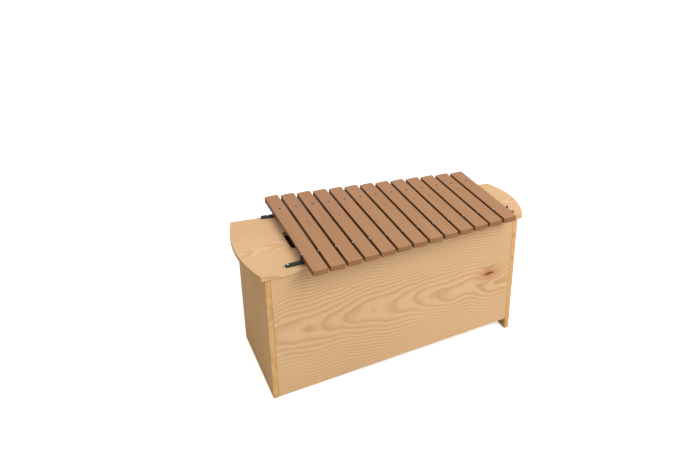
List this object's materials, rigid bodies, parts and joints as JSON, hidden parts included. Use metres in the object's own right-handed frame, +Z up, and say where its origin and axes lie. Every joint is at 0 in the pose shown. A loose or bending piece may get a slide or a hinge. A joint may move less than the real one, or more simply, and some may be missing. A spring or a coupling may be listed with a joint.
{
  "type": "bass xylophone",
  "caption": "Bass xylophone with loose wooden bars in a row on a tall box resonator with a slanted back, held by pins on black support strips.",
  "frame": {"origin": "middle of the footprint of the whole instrument, on the floor", "axes": "+X along the row of bars, from the longest bar to the shortest; +Y from the player's side to the slanted back; +Z up"},
  "size_m": [0.9268, 0.4706, 0.4775],
  "materials": {
    "pine": "clear satin lacquer",
    "plywood": "bare",
    "bar_wood": "satin",
    "black_rubber": "matte",
    "pin_steel": "nickel-plated"
  },
  "bodies": {
    "resonator": {"left_wall": "pine", "right_wall": "pine", "front_panel": "pine", "back_panel": "pine", "bottom_board": "plywood", "chamber_divider": "plywood", "left_top_plate": "pine", "right_top_plate": "pine", "front_rail": "pine", "rear_rail": "pine", "front_support_strip": "black_rubber", "rear_support_strip": "black_rubber", "front_left_strip_screw": "pin_steel", "front_right_strip_screw": "pin_steel", "rear_left_strip_screw": "pin_steel", "rear_right_strip_screw": "pin_steel", "front_pin_01": "pin_steel", "front_pin_02": "pin_steel", "front_pin_03": "pin_steel", "front_pin_04": "pin_steel", "front_pin_05": "pin_steel", "front_pin_06": "pin_steel", "front_pin_07": "pin_steel", "front_pin_08": "pin_steel", "front_pin_09": "pin_steel", "front_pin_10": "pin_steel", "front_pin_11": "pin_steel", "front_pin_12": "pin_steel", "front_pin_13": "pin_steel", "front_pin_14": "pin_steel", "rear_pin_01": "pin_steel", "rear_pin_02": "pin_steel", "rear_pin_03": "pin_steel", "rear_pin_04": "pin_steel", "rear_pin_05": "pin_steel", "rear_pin_06": "pin_steel", "rear_pin_07": "pin_steel", "rear_pin_08": "pin_steel", "rear_pin_09": "pin_steel", "rear_pin_10": "pin_steel", "rear_pin_11": "pin_steel", "rear_pin_12": "pin_steel", "rear_pin_13": "pin_steel"},
    "c_low": {"bar_01_c": "bar_wood"},
    "d_low": {"bar_02_d": "bar_wood"},
    "e_low": {"bar_03_e": "bar_wood"},
    "f_low": {"bar_04_f": "bar_wood"},
    "g_low": {"bar_05_g": "bar_wood"},
    "a_low": {"bar_06_a": "bar_wood"},
    "b_low": {"bar_07_b": "bar_wood"},
    "c_high": {"bar_08_c": "bar_wood"},
    "d_high": {"bar_09_d": "bar_wood"},
    "e_high": {"bar_10_e": "bar_wood"},
    "f_high": {"bar_11_f": "bar_wood"},
    "g_high": {"bar_12_g": "bar_wood"},
    "a_high": {"bar_13_a": "bar_wood"}
  },
  "joints": [
    {"name": "lift_c_low", "type": "slide", "parent": "resonator", "child": "c_low", "axis": [0, 0, 1], "range_m": [0, 0.05]},
    {"name": "lift_d_low", "type": "slide", "parent": "resonator", "child": "d_low", "axis": [0, 0, 1], "range_m": [0, 0.05]},
    {"name": "lift_e_low", "type": "slide", "parent": "resonator", "child": "e_low", "axis": [0, 0, 1], "range_m": [0, 0.05]},
    {"name": "lift_f_low", "type": "slide", "parent": "resonator", "child": "f_low", "axis": [0, 0, 1], "range_m": [0, 0.05]},
    {"name": "lift_g_low", "type": "slide", "parent": "resonator", "child": "g_low", "axis": [0, 0, 1], "range_m": [0, 0.05]},
    {"name": "lift_a_low", "type": "slide", "parent": "resonator", "child": "a_low", "axis": [0, 0, 1], "range_m": [0, 0.05]},
    {"name": "lift_b_low", "type": "slide", "parent": "resonator", "child": "b_low", "axis": [0, 0, 1], "range_m": [0, 0.05]},
    {"name": "lift_c_high", "type": "slide", "parent": "resonator", "child": "c_high", "axis": [0, 0, 1], "range_m": [0, 0.05]},
    {"name": "lift_d_high", "type": "slide", "parent": "resonator", "child": "d_high", "axis": [0, 0, 1], "range_m": [0, 0.05]},
    {"name": "lift_e_high", "type": "slide", "parent": "resonator", "child": "e_high", "axis": [0, 0, 1], "range_m": [0, 0.05]},
    {"name": "lift_f_high", "type": "slide", "parent": "resonator", "child": "f_high", "axis": [0, 0, 1], "range_m": [0, 0.05]},
    {"name": "lift_g_high", "type": "slide", "parent": "resonator", "child": "g_high", "axis": [0, 0, 1], "range_m": [0, 0.05]},
    {"name": "lift_a_high", "type": "slide", "parent": "resonator", "child": "a_high", "axis": [0, 0, 1], "range_m": [0, 0.05]}
  ]
}
